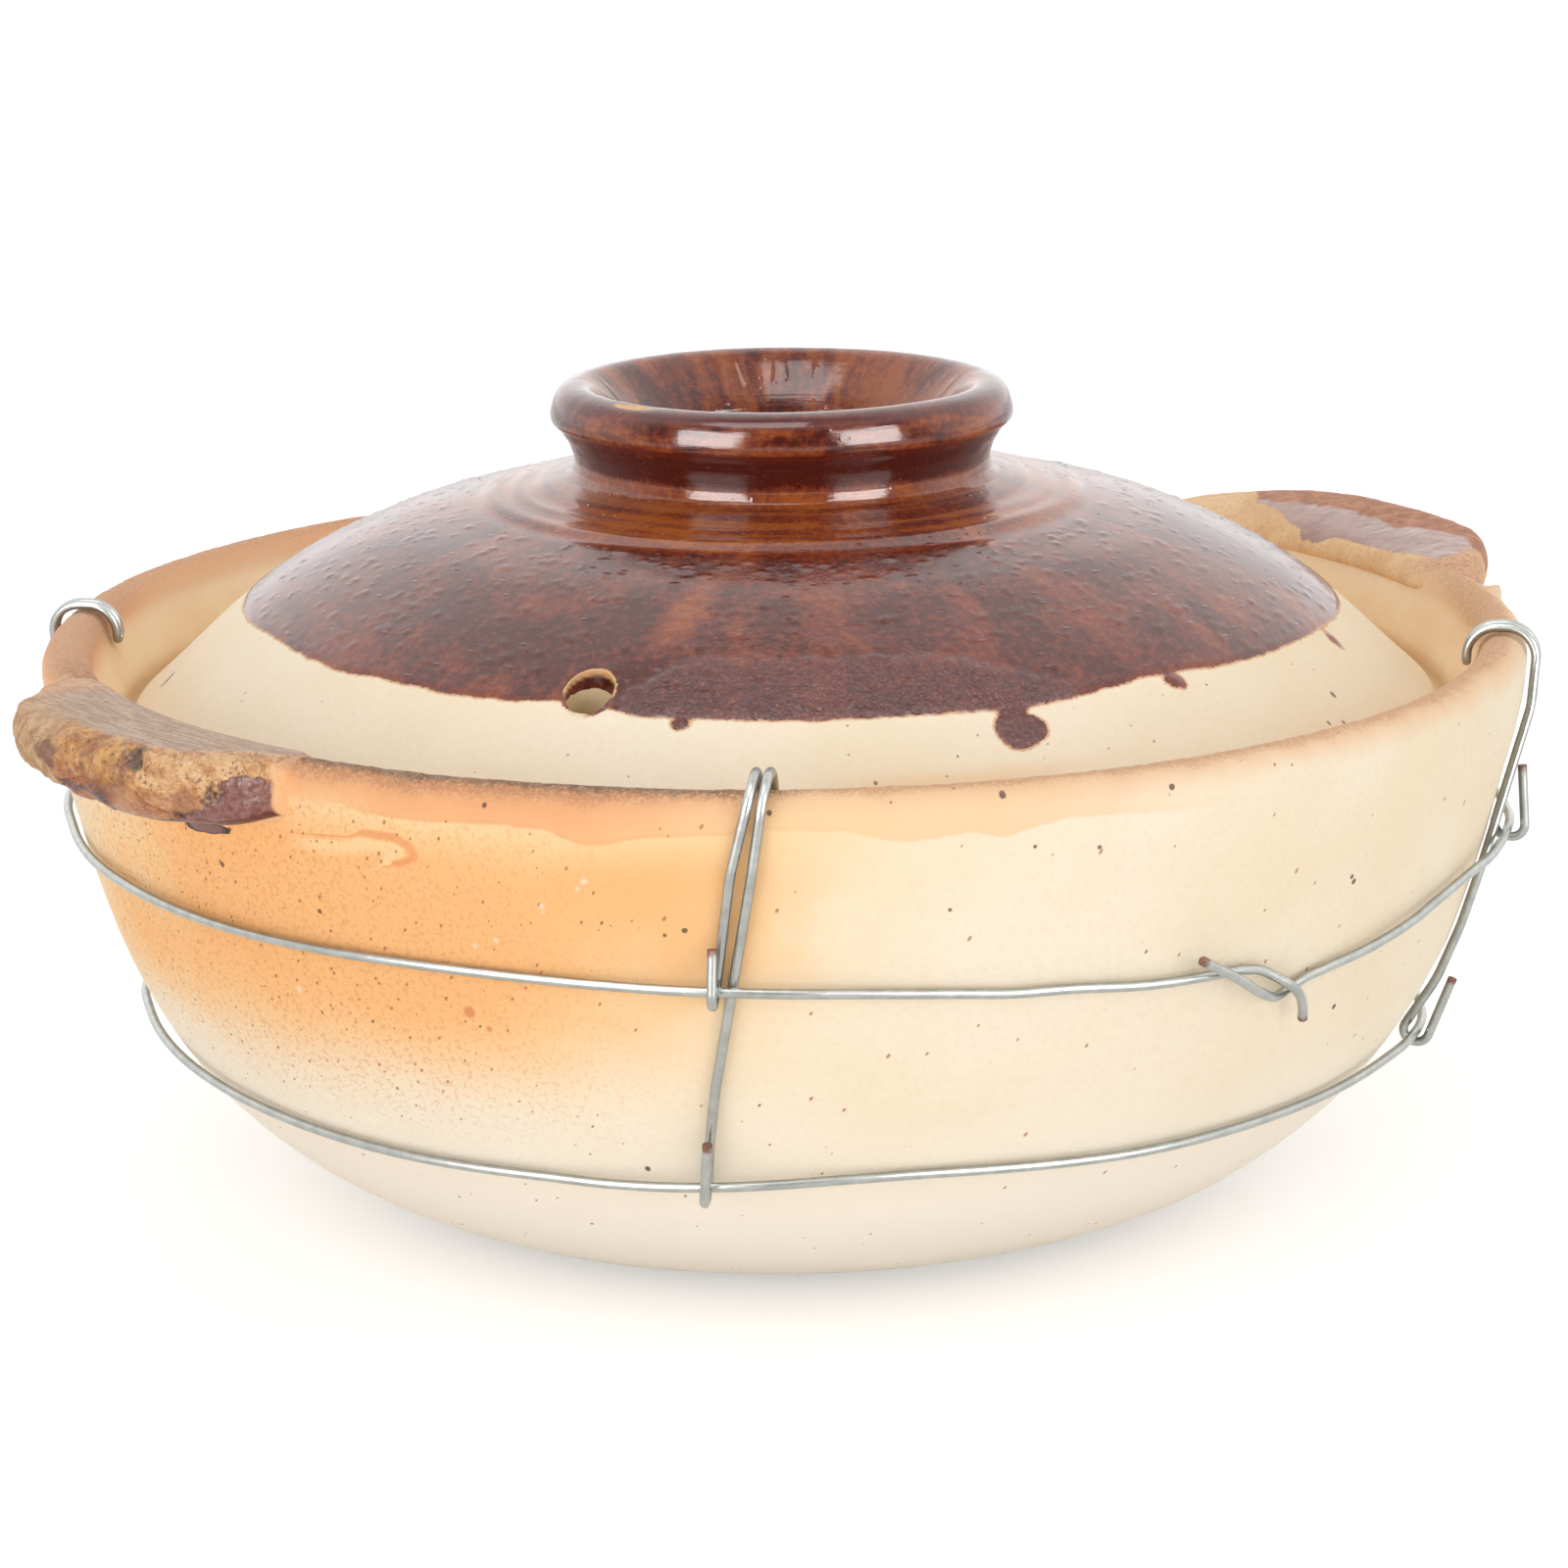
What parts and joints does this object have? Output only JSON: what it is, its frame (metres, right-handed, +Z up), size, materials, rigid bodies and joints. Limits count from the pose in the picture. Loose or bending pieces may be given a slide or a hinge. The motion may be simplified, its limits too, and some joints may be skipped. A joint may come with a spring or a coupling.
{
  "type": "clay cooking pot",
  "caption": "Round unglazed clay cooking pot with lug handles, a brown-glazed domed lift-off lid with a ring knob and steam hole, and a bent wire cage round the bowl.",
  "frame": {"origin": "middle of the flat base the pot stands on", "axes": "+Z up along the axis of the bowl and lid; -Y towards the side seen in front, +X to the right of it"},
  "size_m": [0.2643, 0.2635, 0.1418],
  "materials": {
    "clay": "unglazed coarse fired clay, matt, cream to toasted orange",
    "lug_clay": "rough fired clay, partly covered by brown and amber glaze",
    "lid_glaze": "glossy red-brown glaze over cream clay",
    "wire": "satin galvanised wire"
  },
  "bodies": {
    "pot": {"bowl": "clay", "lug_near": "lug_clay", "lug_far": "lug_clay", "upper_hoop": "wire", "lower_hoop": "wire", "stay_front": "wire", "stay_right": "wire", "stay_back": "wire", "stay_left": "wire"},
    "lid": {"lid": "lid_glaze", "knob_ring": "lid_glaze"}
  },
  "joints": [
    {"name": "lid_lift", "type": "slide", "parent": "pot", "child": "lid", "axis": [0, 0, 1], "range_m": [0, 0.12]}
  ]
}
